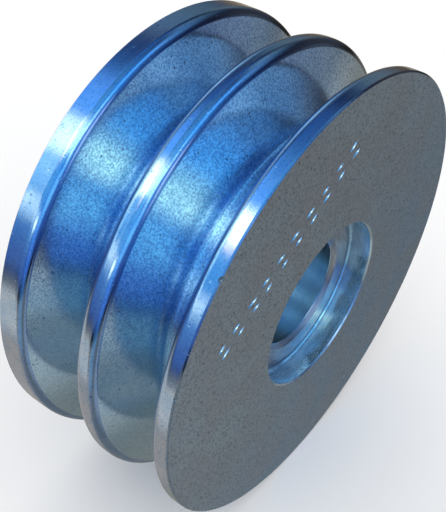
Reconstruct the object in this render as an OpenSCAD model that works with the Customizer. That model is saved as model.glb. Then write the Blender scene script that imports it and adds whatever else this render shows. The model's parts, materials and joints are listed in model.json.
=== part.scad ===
// Two-groove V belt pulley for a 22.2 mm shaft.
// The axis of rotation lies along Y, the front face looks along -Y,
// and the origin is on the axis, half way between the front and rear faces.

/* [Rim] */
// Outside diameter over the three flanges
pulley_od = 90; // [84:1:110]
// Width from the front face to the rear face
pulley_w = 38.5; // [37:0.5:44]
// Chamfer on the outer edges of the two end faces
face_edge = 0.3; // [0.1:0.1:1]

/* [Belt grooves] */
// Distance from the front face to the middle of the first groove
first_groove = 10; // [9.5:0.1:11]
// Distance between the middles of the two grooves
groove_pitch = 16.8; // [16.5:0.1:18]
// Width of a groove at the outside diameter, before its corners are rounded
groove_w = 13.3; // [12.5:0.1:13.6]
// Angle between the two flanks of a groove
groove_angle = 36; // [32:1:38]
// Depth of a groove below the outside diameter
groove_depth = 14; // [12:0.5:15]
// Radius on the corner between a land and a flank
land_r = 1.8; // [0.5:0.1:2]
// Radius in the corners at the root of a groove
root_r = 1.2; // [0.4:0.1:1.4]

/* [Front recess] */
// Diameter of the recess for the nut
recess_d = 34; // [34:0.5:38]
// Depth of the recess, from the front face to the nut seat on the sleeve
recess_depth = 4.7; // [3:0.1:8]
// Chamfer at the mouth of the recess
mouth_chamfer = 0.3; // [0.2:0.1:1]

/* [Hub sleeve] */
// Outside diameter of the sleeve and bore of the body that it is pressed into
sleeve_d = 33; // [30:0.5:33.5]
// Bore of the sleeve, for the shaft
shaft_d = 22.2; // [17:0.1:25]
// Chamfer on the sleeve's outer front edge
sleeve_outer_chamfer = 1; // [0.3:0.1:1.2]
// Chamfer at both ends of the shaft bore
shaft_chamfer = 0.9; // [0.3:0.1:1.2]

/* [Hidden] */
$fn = 128;

groove_count = 2;
overcut = 1;
rim_r = pulley_od / 2;
root_circle_r = rim_r - groove_depth;
recess_r = recess_d / 2;
sleeve_r = sleeve_d / 2;
shaft_r = shaft_d / 2;
front_z = pulley_w / 2;
rear_z = -pulley_w / 2;
seat_z = front_z - recess_depth;

flank_tilt = groove_angle / 2;
top_half_w = groove_w / 2;
root_half_w = top_half_w - groove_depth * tan(flank_tilt);
// Length from a sharp corner to where its rounding starts
land_run = land_r * tan((90 - flank_tilt) / 2);
root_run = root_r * tan((90 - flank_tilt) / 2);

function groove_z(i) = front_z - first_groove - i * groove_pitch;

// Half-section of the turned blank, with the recess and the bore for the sleeve
module blank_section() {
    polygon([
        [sleeve_r, rear_z],
        [rim_r - face_edge, rear_z],
        [rim_r, rear_z + face_edge],
        [rim_r, front_z - face_edge],
        [rim_r - face_edge, front_z],
        [recess_r + mouth_chamfer, front_z],
        [recess_r, front_z - mouth_chamfer],
        [recess_r, seat_z],
        [sleeve_r, seat_z]
    ]);
}

// Half-section of one groove, centred on z = 0, with flat cuts where corners are rounded
module groove_cut_section() {
    land_cut_z = top_half_w + land_run;
    flank_top = [rim_r - land_run * cos(flank_tilt), top_half_w - land_run * sin(flank_tilt)];
    flank_foot = [root_circle_r + root_run * cos(flank_tilt), root_half_w + root_run * sin(flank_tilt)];
    root_end_z = root_half_w - root_run;
    polygon([
        [rim_r + overcut, -land_cut_z],
        [rim_r, -land_cut_z],
        [flank_top.x, -flank_top.y],
        [flank_foot.x, -flank_foot.y],
        [root_circle_r, -root_end_z],
        [root_circle_r, root_end_z],
        flank_foot,
        flank_top,
        [rim_r, land_cut_z],
        [rim_r + overcut, land_cut_z]
    ]);
    for (side = [-1, 1])
        translate([root_circle_r + root_r, side * root_end_z]) circle(r = root_r);
}

// Rounded land corners of one groove, centred on z = 0
module land_corner_sections() {
    for (side = [-1, 1])
        translate([rim_r - land_r, side * (top_half_w + land_run)]) circle(r = land_r);
}

// Turns a half-section about the Y axis, with the section's +Y to the front
module turned() {
    rotate([90, 0, 0]) rotate_extrude() children();
}

module pulley_body() {
    color("steelblue") turned() union() {
        difference() {
            blank_section();
            for (i = [0 : groove_count - 1]) translate([0, groove_z(i)]) groove_cut_section();
        }
        for (i = [0 : groove_count - 1]) translate([0, groove_z(i)]) land_corner_sections();
    }
}

// Steel sleeve pressed into the body, its front end is the seat for the nut
module hub_sleeve() {
    color("slategray") turned() polygon([
        [shaft_r + shaft_chamfer, rear_z],
        [sleeve_r, rear_z],
        [sleeve_r, seat_z - sleeve_outer_chamfer],
        [sleeve_r - sleeve_outer_chamfer, seat_z],
        [shaft_r + shaft_chamfer, seat_z],
        [shaft_r, seat_z - shaft_chamfer],
        [shaft_r, rear_z + shaft_chamfer]
    ]);
}

pulley_body();
hub_sleeve();
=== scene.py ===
"""Two-groove V belt pulley: turned steel body with a pressed-in hub sleeve, blue-bright zinc plated."""

import json
import math
import random

import bmesh
import bpy
from mathutils import Matrix, Vector


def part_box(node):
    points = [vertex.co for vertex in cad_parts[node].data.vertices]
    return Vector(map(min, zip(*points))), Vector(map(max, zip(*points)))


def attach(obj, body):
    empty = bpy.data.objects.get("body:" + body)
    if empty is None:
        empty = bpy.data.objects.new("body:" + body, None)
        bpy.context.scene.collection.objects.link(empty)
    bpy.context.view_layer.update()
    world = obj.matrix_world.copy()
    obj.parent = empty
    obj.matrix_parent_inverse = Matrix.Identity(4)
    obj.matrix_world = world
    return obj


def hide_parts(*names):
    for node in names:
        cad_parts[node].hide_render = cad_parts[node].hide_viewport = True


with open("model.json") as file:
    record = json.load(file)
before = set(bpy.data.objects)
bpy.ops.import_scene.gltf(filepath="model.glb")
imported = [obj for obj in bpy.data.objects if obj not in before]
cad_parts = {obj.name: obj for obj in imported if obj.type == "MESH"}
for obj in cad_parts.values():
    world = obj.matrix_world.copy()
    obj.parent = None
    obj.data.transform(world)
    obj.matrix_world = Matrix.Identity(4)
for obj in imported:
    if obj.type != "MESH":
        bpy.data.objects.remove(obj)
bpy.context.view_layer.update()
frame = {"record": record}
random.seed(11)

MM = 0.001
FULL_TURN = 2 * math.pi


def mount(name):
    """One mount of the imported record."""
    return next(m for m in frame["record"]["mounts"] if m["name"] == name)


# ---- sizes: the axis runs along Y and the front face looks along -Y ----
body_low, body_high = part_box("pulley_body")
sleeve_low, sleeve_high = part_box("hub_sleeve")
RIM_R = body_high.x
FRONT_Y = body_low.y
REAR_Y = body_high.y
SLEEVE_R = sleeve_high.x
SEAT_Y = sleeve_low.y
SHAFT_R = mount("shaft_bore")["dims"]["r_mm"] * MM
RECESS_R = mount("nut_recess")["dims"]["r_mm"] * MM
GROOVE_YS = [mount(name)["pos_m"][1] for name in ("belt_groove_rear", "belt_groove_front")]

FLANK_TILT = math.radians(18)
GROOVE_HALF_W = 6.65 * MM
GROOVE_DEPTH = 14 * MM
LAND_R = 1.8 * MM
ROOT_R = 1.2 * MM
FACE_EDGE = 0.3 * MM
MOUTH_CHAMFER = 0.3 * MM
SLEEVE_CHAMFER = 1.0 * MM
SHAFT_CHAMFER = 0.9 * MM
ROOT_CIRCLE_R = RIM_R - GROOVE_DEPTH

# ---- small marks on the front face and its edge ----
PUNCHES = 10
PUNCH_SPACING = 4.33 * MM
PUNCH_ROW_R = 27.91 * MM
PUNCH_ROW_ANGLE = math.radians(119.96)
PUNCH_ROW_GAP = 2.3 * MM
PUNCH_L = 2.2 * MM
PUNCH_W = 0.85 * MM
PUNCH_DEPTH = 0.38 * MM

# Angle in degrees, how far each dent reaches in and its size in millimetres
EDGE_NICKS = [(135.7, 0.20, 0.5), (-172.5, 0.10, 0.35), (-166.8, 0.10, 0.35), (161.6, 0.12, 0.4)]
SLIGHT_NICKS = 70
# How far a dent's middle lies outside the edge, as a share of its size
NICK_OUTSIDE = 0.7

# ---- fineness of the meshes ----
TURN_STEPS = 360
ARC_STEPS = 9
SUPPORT = 0.12 * MM
LONG_STRETCH = 6 * SUPPORT
SHARP_ANGLE = math.radians(14)


# ---- turned shapes ----
def arc(centre, radius, start, end, steps=ARC_STEPS):
    """Points (r, y) from angle start to angle end, measured from the outward radius towards +Y."""
    turns = [start + (end - start) * i / steps for i in range(steps + 1)]
    return [(centre[0] + radius * math.cos(t), centre[1] + radius * math.sin(t)) for t in turns]


def mirrored(points, middle_y):
    """The same points on the other side of middle_y, in reverse order."""
    return [(r, 2 * middle_y - y) for r, y in reversed(points)]


def with_supports(points):
    """Adds a point close to each end of every long stretch, so that shading stays true beside arcs."""
    supported = []
    for (r0, y0), (r1, y1) in zip(points, points[1:] + points[:1]):
        supported.append((r0, y0))
        length = math.hypot(r1 - r0, y1 - y0)
        if length > LONG_STRETCH:
            for share in (SUPPORT / length, 1 - SUPPORT / length):
                supported.append((r0 + (r1 - r0) * share, y0 + (y1 - y0) * share))
    return supported


def groove_half_section(middle_y):
    """One groove's outline, from its rear land corner to its front one."""
    quarter = math.pi / 2
    run = math.tan((quarter - FLANK_TILT) / 2)
    root_half_w = GROOVE_HALF_W - GROOVE_DEPTH * math.tan(FLANK_TILT)
    land_centre = (RIM_R - LAND_R, middle_y + GROOVE_HALF_W + LAND_R * run)
    root_centre = (ROOT_CIRCLE_R + ROOT_R, middle_y + root_half_w - ROOT_R * run)
    land_corner = arc(land_centre, LAND_R, 0, -(quarter - FLANK_TILT))
    root_corner = arc(root_centre, ROOT_R, quarter + FLANK_TILT, math.pi)
    rear_half = land_corner + root_corner
    return rear_half + mirrored(rear_half, middle_y)


def body_half_section():
    """The turned body's outline: rear face, rim with its grooves, front face, recess and sleeve bore."""
    points = [
        (SLEEVE_R, REAR_Y),
        (RIM_R - FACE_EDGE, REAR_Y),
        (RIM_R, REAR_Y - FACE_EDGE),
    ]
    for middle_y in GROOVE_YS:
        points += groove_half_section(middle_y)
    points += [
        (RIM_R, FRONT_Y + FACE_EDGE),
        (RIM_R - FACE_EDGE, FRONT_Y),
        (RECESS_R + MOUTH_CHAMFER, FRONT_Y),
        (RECESS_R, FRONT_Y + MOUTH_CHAMFER),
        (RECESS_R, SEAT_Y),
        (SLEEVE_R, SEAT_Y),
    ]
    return points


def sleeve_half_section():
    """The sleeve's outline, with a chamfered front edge and a chamfered bore."""
    return [
        (SHAFT_R + SHAFT_CHAMFER, REAR_Y),
        (SLEEVE_R, REAR_Y),
        (SLEEVE_R, SEAT_Y + SLEEVE_CHAMFER),
        (SLEEVE_R - SLEEVE_CHAMFER, SEAT_Y),
        (SHAFT_R + SHAFT_CHAMFER, SEAT_Y),
        (SHAFT_R, SEAT_Y + SHAFT_CHAMFER),
        (SHAFT_R, REAR_Y - SHAFT_CHAMFER),
    ]


def turned(points):
    """A bmesh with the closed half-section points turned once round the Y axis."""
    bm = bmesh.new()
    verts = [bm.verts.new((r, y, 0)) for r, y in points]
    edges = [bm.edges.new(pair) for pair in zip(verts, verts[1:] + verts[:1])]
    bmesh.ops.spin(
        bm, geom=verts + edges, cent=(0, 0, 0), axis=(0, 1, 0),
        angle=FULL_TURN, steps=TURN_STEPS, use_merge=True,
    )
    bmesh.ops.recalc_face_normals(bm, faces=bm.faces)
    return bm


def as_object(bm, name):
    """An object named name with the bmesh's faces."""
    mesh = bpy.data.meshes.new(name)
    bm.to_mesh(mesh)
    bm.free()
    piece = bpy.data.objects.new(name, mesh)
    bpy.context.scene.collection.objects.link(piece)
    return piece


def shade(piece):
    """Shades the piece smooth, and keeps it crisp where it bends abruptly."""
    bm = bmesh.new()
    bm.from_mesh(piece.data)
    for face in bm.faces:
        face.smooth = True
    for edge in bm.edges:
        edge.smooth = len(edge.link_faces) == 2 and edge.calc_face_angle(0) < SHARP_ANGLE
    bm.to_mesh(piece.data)
    bm.free()


def along_face(angle, radius, height=0.0):
    """A place on the front face: angle from +X towards +Z, height out of the face."""
    return Vector((radius * math.cos(angle), FRONT_Y - height, radius * math.sin(angle)))


def ball_mesh(around, along):
    """A ball of radius 1 m as a mesh, to be copied many times."""
    bm = bmesh.new()
    bmesh.ops.create_uvsphere(bm, u_segments=around, v_segments=along, radius=1)
    mesh = bpy.data.meshes.new("ball")
    bm.to_mesh(mesh)
    bm.free()
    return mesh


def add_copy(bm, mesh, matrix):
    """Adds a placed copy of the mesh to the bmesh."""
    copy = mesh.copy()
    copy.transform(matrix)
    bm.from_mesh(copy)
    bpy.data.meshes.remove(copy)


def add_punches(bm):
    """Adds the cutters of a plain double row of short dashes, punched across the front face."""
    ball = ball_mesh(24, 16)
    outwards = Vector((math.cos(PUNCH_ROW_ANGLE), 0, math.sin(PUNCH_ROW_ANGLE)))
    along_row = Vector((-math.sin(PUNCH_ROW_ANGLE), 0, math.cos(PUNCH_ROW_ANGLE)))
    for index in range(PUNCHES):
        for side in (-1, 1):
            along = PUNCH_SPACING * (index - (PUNCHES - 1) / 2) + random.uniform(-0.25, 0.25) * MM
            across = side * PUNCH_ROW_GAP / 2 + random.uniform(-0.15, 0.15) * MM
            place = along_face(PUNCH_ROW_ANGLE, PUNCH_ROW_R) + along_row * along + outwards * across
            turn = Matrix.Rotation(-PUNCH_ROW_ANGLE + random.uniform(-0.2, 0.2), 4, "Y")
            half_length = PUNCH_L / 2 * random.uniform(0.75, 1.25)
            size = Matrix.Diagonal((PUNCH_W / 2, PUNCH_DEPTH, half_length, 1.0))
            add_copy(bm, ball, Matrix.Translation(place) @ turn @ size)
    bpy.data.meshes.remove(ball)


def add_nicks(bm):
    """Adds the cutters of small dents in the front rim edge: a few plain ones and many slight ones."""
    nicks = [(math.radians(angle), reach * MM, size * MM) for angle, reach, size in EDGE_NICKS]
    for index in range(SLIGHT_NICKS):
        angle = FULL_TURN * (index + random.uniform(-0.3, 0.3)) / SLIGHT_NICKS
        nicks.append((angle, random.uniform(0.0, 0.05) * MM, random.uniform(0.25, 0.6) * MM))
    ball = ball_mesh(16, 12)
    for angle, reach, size in nicks:
        outside = size * NICK_OUTSIDE
        place = along_face(angle, RIM_R - FACE_EDGE / 2 + outside - reach, outside - reach)
        turn = Matrix.Rotation(random.uniform(0, math.pi), 4, "Y")
        turn = turn @ Matrix.Rotation(random.uniform(0, 1), 4, "X")
        stretch = Matrix.Diagonal((random.uniform(0.9, 1.5), 1.0, random.uniform(0.9, 1.5), 1.0))
        add_copy(bm, ball, Matrix.Translation(place) @ turn @ stretch @ Matrix.Scale(size, 4))
    bpy.data.meshes.remove(ball)


def cut(piece, cutter):
    """Takes the cutter's bmesh away from the piece for good."""
    tool = as_object(cutter, "tool")
    modifier = piece.modifiers.new("cut", "BOOLEAN")
    modifier.operation = "DIFFERENCE"
    modifier.solver = "MANIFOLD"
    modifier.object = tool
    shown = piece.evaluated_get(bpy.context.evaluated_depsgraph_get())
    mesh = bpy.data.meshes.new_from_object(shown)
    piece.modifiers.clear()
    old = piece.data
    piece.data = mesh
    bpy.data.meshes.remove(old)
    bpy.data.meshes.remove(tool.data)


def assign_finishes(piece, finishes):
    """Gives each face the first finish whose test holds at its middle; tests take (r, y)."""
    piece.data.materials.clear()
    for material, _ in finishes:
        piece.data.materials.append(material)
    for face in piece.data.polygons:
        r = math.hypot(face.center.x, face.center.z)
        for index, (_, holds) in enumerate(finishes):
            if holds(r, face.center.y):
                face.material_index = index
                break


# ---- nodes ----
class Nodes:
    """Adds nodes to one node tree; each input takes a value or another node's socket."""

    def __init__(self, tree):
        self.tree = tree

    def add(self, kind, settings=None, **inputs):
        """A new node with its settings and inputs."""
        node = self.tree.nodes.new(kind)
        for key, value in (settings or {}).items():
            setattr(node, key, value)
        for key, value in inputs.items():
            self.feed(node.inputs[key], value)
        return node

    def feed(self, socket, value):
        """Links another node's socket to this one, or sets its value."""
        if isinstance(value, bpy.types.NodeSocket):
            self.tree.links.new(value, socket)
        else:
            socket.default_value = value

    def math(self, operation, *values):
        """A number worked out from one or two others."""
        node = self.add("ShaderNodeMath", {"operation": operation})
        for socket, value in zip(node.inputs, values):
            self.feed(socket, value)
        return node.outputs[0]

    def vector_math(self, operation, a, b):
        """A vector worked out from a vector and a second vector, or from a vector and a scale."""
        node = self.add("ShaderNodeVectorMath", {"operation": operation})
        self.feed(node.inputs[0], a)
        self.feed(node.inputs["Scale"] if operation == "SCALE" else node.inputs[1], b)
        return node.outputs["Vector"]

    def ramp(self, value, low, high, to_low=0.0, to_high=1.0):
        """Value mapped smoothly from low..high to to_low..to_high."""
        node = self.add("ShaderNodeMapRange", {"interpolation_type": "SMOOTHSTEP"}, Value=value)
        for socket, number in zip(list(node.inputs)[1:5], (low, high, to_low, to_high)):
            self.feed(socket, number)
        return node.outputs["Result"]


# ---- materials ----
class Finish(Nodes):
    """A metal material whose nodes read the piece's own Object coordinates, in millimetres."""

    def __init__(self, name):
        self.material = bpy.data.materials.new(name)
        self.material.use_nodes = True
        super().__init__(self.material.node_tree)
        self.shader = self.tree.nodes["Principled BSDF"]
        self.shader.inputs["Metallic"].default_value = 1.0
        coordinates = self.add("ShaderNodeTexCoord").outputs["Object"]
        self.place = self.vector_math("SCALE", coordinates, 1 / MM)
        self.x, self.y, self.z = self.add("ShaderNodeSeparateXYZ", Vector=self.place).outputs
        squares = [self.math("POWER", part, 2) for part in (self.x, self.z)]
        self.radius = self.math("SQRT", self.math("ADD", *squares))

    def noise(self, size, detail=2.0, roughness=0.5):
        """Noise from 0 to 1 whose features are about size millimetres across."""
        node = self.add(
            "ShaderNodeTexNoise", Vector=self.place, Scale=1 / size, Detail=detail, Roughness=roughness,
        )
        return node.outputs["Fac"]

    def ring_noise(self, size, along=12.0):
        """Noise drawn out along the turning direction: size across it, along millimetres round it."""
        where = self.add(
            "ShaderNodeCombineXYZ",
            X=self.math("MULTIPLY", self.radius, 1 / size),
            Y=self.math("MULTIPLY", self.x, 1 / along),
            Z=self.math("MULTIPLY", self.z, 1 / along),
        ).outputs[0]
        node = self.add(
            "ShaderNodeTexNoise", {"noise_dimensions": "4D"}, Vector=where,
            W=self.math("MULTIPLY", self.y, 1 / size), Scale=1.0, Detail=2.0,
        )
        return node.outputs["Fac"]

    def pits(self, spacing, size, share, shift=0.0):
        """1 in small round pits, 0 elsewhere: share (a number or socket) of the cells hold one."""
        where = self.vector_math("ADD", self.place, (shift, shift, shift))
        cells = self.add("ShaderNodeTexVoronoi", Vector=where, Scale=1 / spacing)
        pick, width, _ = self.add("ShaderNodeSeparateColor", Color=cells.outputs["Color"]).outputs
        reach = self.ramp(width, 0.0, 1.0, 0.5 * size / spacing, size / spacing)
        depth = self.ramp(cells.outputs["Distance"], reach, self.math("MULTIPLY", reach, 0.4))
        return self.math("MULTIPLY", depth, self.math("LESS_THAN", pick, share))

    def mix(self, share, colour_a, colour_b, blend="MIX"):
        """Colour a with this share of colour b in it."""
        node = self.add("ShaderNodeMix", {"data_type": "RGBA", "blend_type": blend})
        self.feed(node.inputs[0], share)
        for socket, colour in zip((node.inputs[6], node.inputs[7]), (colour_a, colour_b)):
            self.feed(socket, colour if isinstance(colour, bpy.types.NodeSocket) else (*colour, 1.0))
        return node.outputs[2]

    def bump(self, height, depth, below=None):
        """A normal from height (0 to 1) that is depth millimetres deep, on top of another normal."""
        node = self.add("ShaderNodeBump", Height=height, Strength=1.0, Distance=depth * MM)
        if below is not None:
            self.tree.links.new(below, node.inputs["Normal"])
        return node.outputs["Normal"]

    def finish(self, colour, roughness, normal):
        """The material, once its shader has its colour, roughness and normal."""
        self.feed(self.shader.inputs["Base Color"], colour)
        self.feed(self.shader.inputs["Roughness"], roughness)
        self.feed(self.shader.inputs["Normal"], normal)
        return self.material


ZINC_BLUE = (0.54, 0.66, 0.80)
ZINC_DEEP = (0.48, 0.61, 0.74)
ZINC_PALE = (0.63, 0.71, 0.80)
# Painted shade colour for the upper right of the lands.
ZINC_PAINTED_SHADE = (0.30, 0.26, 0.23)
PIT_DARK = (0.05, 0.07, 0.11)
# Painted shade tint for the rounded land corners.
CORNER_PAINTED_SHADE = (0.55, 0.68, 0.90)
FLANK_BLUE = (0.70, 0.82, 0.93)
FLANK_PALE = (0.78, 0.87, 0.93)
# Painted shade: a deeper blue for the groove root.
FLANK_ROOT_PAINTED_SHADE = (0.46, 0.68, 0.88)
# Painted shade tint for the bottom of the flanks.
FLANK_LOW_PAINTED_SHADE = (0.76, 0.88, 0.95)
FLANK_GRAIN_TINT = (0.56, 0.63, 0.72)
FLANK_COARSE_TINT = (0.70, 0.78, 0.86)
FACE_GREY = (0.46, 0.56, 0.67)
# Blue towards the lower right of the faces: painted shade, mixed with mottling.
FACE_MOTTLE_AND_SHADE_BLUE = (0.33, 0.50, 0.72)
FACE_LILAC = (0.46, 0.47, 0.54)
FACE_GRAIN = (0.20, 0.24, 0.29)


def bright_zinc(name):
    """Plated rim lands: glossy, with faint turning lines, a slight ripple and small specks, and painted
    shade on their upper right and their rounded corners.
    """
    f = Finish(name)
    rim = RIM_R / MM
    lines = f.ring_noise(0.35, along=9)
    ripple = f.noise(2.2, detail=2)
    grain = f.noise(0.35, detail=1)
    specks = f.pits(1.1, 0.24, 0.25)
    pits = f.pits(1.7, 0.34, 0.08, shift=31.0)
    # Painted shade: the lands turn a darker brown grey on their upper right.
    painted_shade_upper_right = f.math("MULTIPLY", f.ramp(f.x, -9, 9), f.ramp(f.z, 5, 25))
    colour = f.mix(f.ramp(ripple, 0.35, 0.65), ZINC_BLUE, ZINC_PALE)
    # Painted shade: the rounded land corners are darkened towards a deeper blue.
    below_edge = f.ramp(f.radius, rim - 0.05, rim - 0.3)
    above_flank = f.ramp(f.radius, rim - 1.7, rim - 1.2)
    corner = f.math("MULTIPLY", below_edge, above_flank)
    colour = f.mix(painted_shade_upper_right, colour, ZINC_PAINTED_SHADE)
    colour = f.mix(corner, colour, CORNER_PAINTED_SHADE, "MULTIPLY")
    colour = f.mix(f.ramp(grain, 0.50, 0.75, 0, 0.6), colour, ZINC_DEEP, "MULTIPLY")
    colour = f.mix(f.math("MULTIPLY", pits, 0.8), colour, PIT_DARK)
    roughness = f.ramp(lines, 0.3, 0.7, 0.08, 0.15)
    normal = f.bump(ripple, 0.010, f.bump(lines, 0.0012))
    normal = f.bump(grain, 0.003, normal)
    normal = f.bump(f.math("ADD", specks, pits), -0.018, normal)
    return f.finish(colour, roughness, normal)


def satin_zinc(name):
    """Plated groove flanks: satin, with a fine grain and scattered dark pits, rougher at the root, with
    painted shade in a deeper blue at the root and in a darker tint towards the bottom.
    """
    f = Finish(name)
    grain = f.noise(0.34, detail=1)
    coarse = f.noise(1.1, detail=1)
    cloud = f.noise(9.0, detail=1)
    # Painted shade: a deeper blue towards the groove root; the root is also rougher.
    root = f.ramp(f.radius, ROOT_CIRCLE_R / MM + 2.6, ROOT_CIRCLE_R / MM + 0.8)
    clear = f.ramp(f.z, 0, 20, 0.45, 1.0)
    # Painted shade: the flanks turn darker and greener blue towards the bottom.
    low = f.ramp(f.z, 14, 5)
    share = f.ramp(f.noise(6.0, detail=1), 0.35, 0.7, 0.03, 0.30)
    pits = f.pits(0.85, 0.26, share)
    colour = f.mix(f.ramp(cloud, 0.3, 0.7), FLANK_BLUE, FLANK_PALE)
    colour = f.mix(root, colour, FLANK_ROOT_PAINTED_SHADE)
    grains = f.math("MULTIPLY", f.ramp(grain, 0.42, 0.62), clear)
    colour = f.mix(low, colour, FLANK_LOW_PAINTED_SHADE, "MULTIPLY")
    colour = f.mix(grains, colour, FLANK_GRAIN_TINT, "MULTIPLY")
    colour = f.mix(f.ramp(coarse, 0.50, 0.75, 0, 0.3), colour, FLANK_COARSE_TINT, "MULTIPLY")
    colour = f.mix(f.math("MULTIPLY", pits, 0.8), colour, PIT_DARK)
    roughness = f.math("ADD", f.ramp(coarse, 0.3, 0.7, 0.11, 0.16), f.math("MULTIPLY", root, 0.12))
    normal = f.bump(grain, 0.0010, f.bump(cloud, 0.015))
    normal = f.bump(pits, -0.02, normal)
    return f.finish(colour, roughness, normal)


def faced_zinc(name):
    """Plated end faces: duller, mottled, with grain, pits and faint facing lines, and painted shade that
    makes them darker and bluer towards the lower right.
    """
    f = Finish(name)
    grain = f.noise(0.34, detail=1, roughness=0.7)
    cloud = f.noise(8.0, detail=3)
    lines = f.ring_noise(0.5, along=14)
    spread = f.noise(11.0, detail=1)
    share = f.ramp(spread, 0.35, 0.7, 0.08, 0.60)
    pits = f.pits(0.95, 0.30, share)
    # Painted shade: the faces turn darker and bluer towards the lower right, mottled by cloud noise.
    across = f.math("ADD", f.math("SUBTRACT", f.x, f.z), f.math("MULTIPLY", cloud, 40))
    colour = f.mix(f.ramp(across, -15, 65), FACE_GREY, FACE_MOTTLE_AND_SHADE_BLUE)
    colour = f.mix(f.ramp(cloud, 0.35, 0.65, 0, 0.5), colour, FACE_LILAC)
    colour = f.mix(f.ramp(grain, 0.40, 0.72, 0, 0.75), colour, FACE_GRAIN)
    colour = f.mix(f.math("MULTIPLY", pits, 0.7), colour, PIT_DARK)
    roughness = f.ramp(grain, 0.3, 0.7, 0.30, 0.45)
    normal = f.bump(lines, 0.0015, f.bump(grain, 0.010))
    normal = f.bump(pits, -0.05, normal)
    return f.finish(colour, roughness, normal)


def punched_zinc(name):
    """The punch marks: pressed smooth, so they glint."""
    f = Finish(name)
    ripple = f.noise(0.8, detail=2)
    colour = f.mix(f.ramp(ripple, 0.3, 0.7), (0.80, 0.85, 0.92), (0.90, 0.92, 0.95))
    roughness = f.ramp(ripple, 0.3, 0.7, 0.12, 0.24)
    return f.finish(colour, roughness, f.bump(ripple, 0.03))


def nicked_zinc(name):
    """Dents in the edge, where the plate is bruised dark and rough."""
    f = Finish(name)
    grain = f.noise(0.3, detail=2)
    colour = f.mix(f.ramp(grain, 0.3, 0.7), (0.16, 0.18, 0.22), (0.34, 0.38, 0.44))
    roughness = f.ramp(grain, 0.3, 0.7, 0.35, 0.55)
    return f.finish(colour, roughness, f.bump(grain, 0.01))


def bored_zinc(name):
    """Plated recess wall: glossy and slightly wavy."""
    f = Finish(name)
    waves = f.noise(3.8, detail=1)
    lines = f.ring_noise(0.25, along=10)
    colour = f.mix(f.ramp(waves, 0.3, 0.7), (0.66, 0.84, 0.95), (0.78, 0.92, 0.98))
    roughness = f.ramp(lines, 0.3, 0.7, 0.20, 0.30)
    normal = f.bump(waves, 0.24, f.bump(lines, 0.001))
    return f.finish(colour, roughness, normal)


def sleeve_steel(name):
    """The sleeve's duller plate: lilac grey with scuffs and pits."""
    f = Finish(name)
    grain = f.noise(0.35, detail=3, roughness=0.7)
    scuffs = f.ring_noise(0.4, along=3)
    colour = f.mix(f.ramp(scuffs, 0.3, 0.7), (0.36, 0.38, 0.44), (0.54, 0.55, 0.60))
    roughness = f.ramp(grain, 0.3, 0.7, 0.30, 0.45)
    normal = f.bump(scuffs, 0.008, f.bump(grain, 0.012))
    return f.finish(colour, roughness, normal)


def honed_bore(name):
    """The shaft bore: glossy, with fine lines round it."""
    f = Finish(name)
    lines = f.ring_noise(0.2, along=8)
    waves = f.noise(4.0, detail=1)
    colour = f.mix(f.ramp(waves, 0.3, 0.7), (0.62, 0.82, 0.93), (0.72, 0.88, 0.96))
    roughness = f.ramp(lines, 0.3, 0.7, 0.16, 0.26)
    normal = f.bump(waves, 0.03, f.bump(lines, 0.002))
    return f.finish(colour, roughness, normal)


# ---- pieces ----
HAIR = 0.01 * MM
LAND_ZONE_R = RIM_R - 1.4 * MM
NICK_ZONE = (1.5 * MM, 1.2 * MM)


def in_edge_nick(r, y):
    """Whether a place lies in a dent of the front rim edge, behind its chamfer."""
    inwards = RIM_R - r
    back = y - FRONT_Y
    near = HAIR / 2 < inwards < NICK_ZONE[0] and HAIR / 2 < back < NICK_ZONE[1]
    return near and inwards + back > FACE_EDGE + HAIR


def in_punch(r, y):
    """Whether a place lies in a punch mark of the front face."""
    return RECESS_R + 1 * MM < r < RIM_R - 3 * MM and FRONT_Y + HAIR < y < FRONT_Y + 1 * MM


def on_end_face(r, y):
    """Whether a place lies on the front or the rear face."""
    return not FRONT_Y + HAIR < y < REAR_Y - HAIR


def on_land(r, y):
    """Whether a place lies on a land or on its rounded corner."""
    return r > LAND_ZONE_R and not on_end_face(r, y)


def in_groove(r, y):
    """Whether a place lies on a flank or a root; the lands are taken before."""
    return r > ROOT_CIRCLE_R - 0.2 * MM


def in_shaft_bore(r, y):
    """Whether a place lies on the wall of the shaft bore."""
    return r < SHAFT_R + 0.2 * MM


def anywhere(r, y):
    """Every place that no test before has taken."""
    return True


def make_body():
    """The turned body, which stands for the CAD body."""
    piece = as_object(turned(with_supports(body_half_section())), "plated_body")
    cutter = bmesh.new()
    add_punches(cutter)
    add_nicks(cutter)
    cut(piece, cutter)
    shade(piece)
    assign_finishes(piece, [
        (punched_zinc("punched zinc"), in_punch),
        (nicked_zinc("nicked zinc"), in_edge_nick),
        (bright_zinc("bright zinc lands"), on_land),
        (faced_zinc("faced zinc"), on_end_face),
        (satin_zinc("satin zinc flanks"), in_groove),
        (bored_zinc("bored zinc"), anywhere),
    ])
    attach(piece, "root")
    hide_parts("pulley_body")


def make_sleeve():
    """The pressed-in sleeve, which stands for the CAD sleeve."""
    piece = as_object(turned(with_supports(sleeve_half_section())), "pressed_sleeve")
    shade(piece)
    assign_finishes(piece, [
        (honed_bore("honed bore"), in_shaft_bore),
        (sleeve_steel("sleeve steel"), anywhere),
    ])
    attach(piece, "root")
    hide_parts("hub_sleeve")


# ---- studio ----
CAMERA_AZIMUTH = math.radians(-50.85)
CAMERA_ELEVATION = math.radians(46.45)
CAMERA_LENS = 60.64
CAMERA_SHIFT = (0.0572, 0.0979)
# From the middle of the front face, in rim radii
CAMERA_BACK = 3.5936
CAMERA_LEFT = 0.5364
CAMERA_DOWN = 0.0016
FLOOR_HALF = 1.5
PLAIN_LIGHT = (1.15, 1.15, 1.15)


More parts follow.
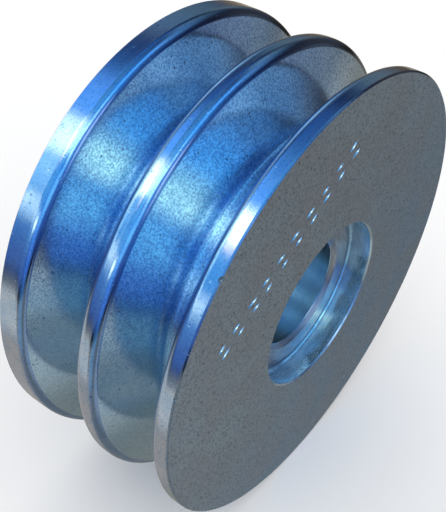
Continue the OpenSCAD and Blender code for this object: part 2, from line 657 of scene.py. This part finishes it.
def make_camera():
    """Looks at the front face from its upper left."""
    turn, tilt = CAMERA_AZIMUTH, CAMERA_ELEVATION
    right = Vector((math.cos(turn), math.sin(turn), 0))
    back = Vector((math.sin(turn) * math.cos(tilt), -math.cos(turn) * math.cos(tilt), math.sin(tilt)))
    up = back.cross(right)
    data = bpy.data.cameras.new("camera")
    data.lens = CAMERA_LENS
    data.shift_x, data.shift_y = CAMERA_SHIFT
    data.clip_start = 0.01
    camera = bpy.data.objects.new("camera", data)
    face_centre = Vector((0, FRONT_Y, 0))
    place = face_centre + RIM_R * (CAMERA_BACK * back - CAMERA_LEFT * right - CAMERA_DOWN * up)
    camera.matrix_world = Matrix.Translation(place) @ Matrix((right, up, back)).transposed().to_4x4()
    bpy.context.scene.collection.objects.link(camera)
    bpy.context.scene.camera = camera


def make_floor():
    """A plain pale floor just under the rims."""
    bm = bmesh.new()
    under_rims = Matrix.Translation((0, 0, -RIM_R))
    bmesh.ops.create_grid(bm, x_segments=1, y_segments=1, size=FLOOR_HALF, matrix=under_rims)
    floor = as_object(bm, "floor")
    material = bpy.data.materials.new("pale floor")
    material.use_nodes = True
    shader = material.node_tree.nodes["Principled BSDF"]
    shader.inputs["Base Color"].default_value = (0.9, 0.9, 0.9, 1)
    shader.inputs["Roughness"].default_value = 0.9
    floor.data.materials.append(material)
    floor.visible_glossy = False


def direction(azimuth, elevation):
    """A unit vector, in degrees: azimuth 0 is the front, 90 the right, and elevation goes up."""
    turn, tilt = math.radians(azimuth), math.radians(elevation)
    return Vector((math.sin(turn) * math.cos(tilt), -math.cos(turn) * math.cos(tilt), math.sin(tilt)))


class Surroundings(Nodes):
    """A studio all round the object: every part of it is a soft-edged panel or band of light."""

    def __init__(self, name):
        world = bpy.data.worlds.new(name)
        bpy.context.scene.world = world
        world.use_nodes = True
        super().__init__(world.node_tree)
        self.direction = self.add("ShaderNodeTexCoord").outputs["Generated"]
        self.total = None

    def along(self, vector):
        """How far the looked-at direction goes along vector."""
        node = self.add("ShaderNodeVectorMath", {"operation": "DOT_PRODUCT"})
        self.feed(node.inputs[0], self.direction)
        self.feed(node.inputs[1], vector)
        return node.outputs["Value"]

    def shine(self, share, colour):
        """Adds light of this colour where share is 1."""
        light = self.vector_math("SCALE", colour, share)
        self.total = light if self.total is None else self.vector_math("ADD", self.total, light)

    def height(self, empty, full):
        """0 at one elevation and 1 at another, in degrees."""
        return self.ramp(self.along((0, 0, 1)), math.sin(math.radians(empty)), math.sin(math.radians(full)))

    def toward(self, azimuth, elevation, empty, full):
        """How far a direction points towards another, faded between two cosines."""
        return self.ramp(self.along(direction(azimuth, elevation)), empty, full)

    def panel(self, azimuth, elevation, half_width, half_height, softness, colour):
        """A soft-edged rectangle of light, in degrees; azimuth 0 is the front and 90 the right."""
        ahead = direction(azimuth, elevation)
        sideways = direction(azimuth + 90, 0)
        blur = math.sin(math.radians(softness))
        share = self.math("GREATER_THAN", self.along(ahead), 0.0)
        for vector, half_size in ((sideways, half_width), (sideways.cross(ahead), half_height)):
            edge = math.sin(math.radians(half_size))
            distance = self.math("ABSOLUTE", self.along(vector))
            share = self.math("MULTIPLY", share, self.ramp(distance, edge + blur, edge - blur))
        self.shine(share, colour)

    def finish(self, plain):
        """Polished surfaces mirror the studio; everything else is lit by its plain pale walls."""
        path = self.add("ShaderNodeLightPath")
        choice = self.add("ShaderNodeMix", {"data_type": "VECTOR"}, Factor=path.outputs["Is Glossy Ray"])
        self.feed(choice.inputs[4], plain)
        self.feed(choice.inputs[5], self.total)
        background = self.tree.nodes["Background"]
        self.feed(background.inputs["Color"], choice.outputs[1])
        self.feed(background.inputs["Strength"], 1.0)


def add_room(studio):
    """The blue wall on the left, the dark blue above the horizon and the grey below it."""
    left_side = studio.toward(-70, 10, -0.5, 0.6)
    studio.shine(studio.math("MULTIPLY", left_side, studio.height(-15, -3)), (0.06, 0.13, 0.33))
    studio.shine(studio.math("MULTIPLY", left_side, studio.height(-5, 35)), (0.03, 0.28, 0.52))
    studio.shine(studio.height(-15, -3), (0.01, 0.03, 0.11))
    studio.shine(studio.height(-15, -20), (0.25, 0.25, 0.23))


def add_windows(studio):
    """Windows and lamps from the left round to the back, all wider than they are tall."""
    studio.panel(-90, 63, 50, 8, 3, (0.95, 1.05, 0.60))
    studio.panel(-134, 51, 11, 7, 2, (1.0, 0.6, 0.2))
    studio.panel(-155, 56, 22, 10, 7, (0.07, 0.19, 0.49))
    studio.panel(-157, 30, 20, 10, 7, (0.36, 0.56, 0.58))
    studio.panel(-100, 23, 35, 4, 2, (0.40, 0.40, 0.28))
    studio.panel(-125, 18, 10, 5, 2, (0.25, 0.32, 0.26))
    studio.panel(-88, 20, 10, 3, 2, (1.2, 1.4, 1.0))


def add_front_cards(studio):
    """Coloured cards from the left round to the front, high and low."""
    studio.panel(-24, 48, 14, 9, 2, (0.65, 0.80, 0.35))
    studio.panel(-85, 60, 22, 6, 3, (0.35, 0.45, 0.25))
    studio.panel(-30, 62, 35, 14, 10, (0.01, 0.13, 0.16))
    studio.panel(22, 52, 18, 9, 8, (0.13, 0.43, 0.75))
    studio.panel(-42, 24, 16, 12, 8, (0.25, 0.60, 0.60))
    studio.panel(-56, 0, 14, 16, 10, (0.06, 0.18, 0.38))
    studio.panel(-66, -28, 14, 14, 8, (0.08, 0.21, 0.28))
    studio.panel(2, 14, 9, 10, 4, (0.95, 0.85, 0.75))


def add_far_cards(studio):
    """Dimmer cards from the right round to the back."""
    studio.panel(72, 40, 24, 13, 10, (0.16, 0.38, 0.60))
    studio.panel(57, -12, 14, 10, 8, (0.14, 0.19, 0.26))
    studio.panel(90, 3, 30, 15, 10, (0.09, 0.09, 0.06))
    studio.panel(128, 14, 24, 12, 10, (0.11, 0.25, 0.40))
    studio.panel(155, 22, 20, 12, 10, (0.24, 0.41, 0.57))
    studio.panel(155, 58, 30, 12, 8, (0.01, 0.07, 0.22))


def add_bench(studio):
    """Grey patches below the horizon."""
    studio.panel(-130, -25, 28, 12, 6, (0.29, 0.31, 0.33))
    studio.panel(-140, -54, 45, 18, 10, (0.15, 0.12, 0.12))
    studio.panel(5, -40, 25, 18, 8, (0.21, 0.24, 0.27))
    studio.panel(150, -30, 35, 20, 10, (0.28, 0.24, 0.18))


def make_world():
    """A blue room with bright windows over a grey bench, for the metal to mirror."""
    studio = Surroundings("studio")
    add_room(studio)
    add_windows(studio)
    add_front_cards(studio)
    add_far_cards(studio)
    add_bench(studio)
    studio.finish(PLAIN_LIGHT)


make_camera()
make_floor()
make_world()
make_body()
make_sleeve()
bpy.context.scene.view_settings.view_transform = "Standard"
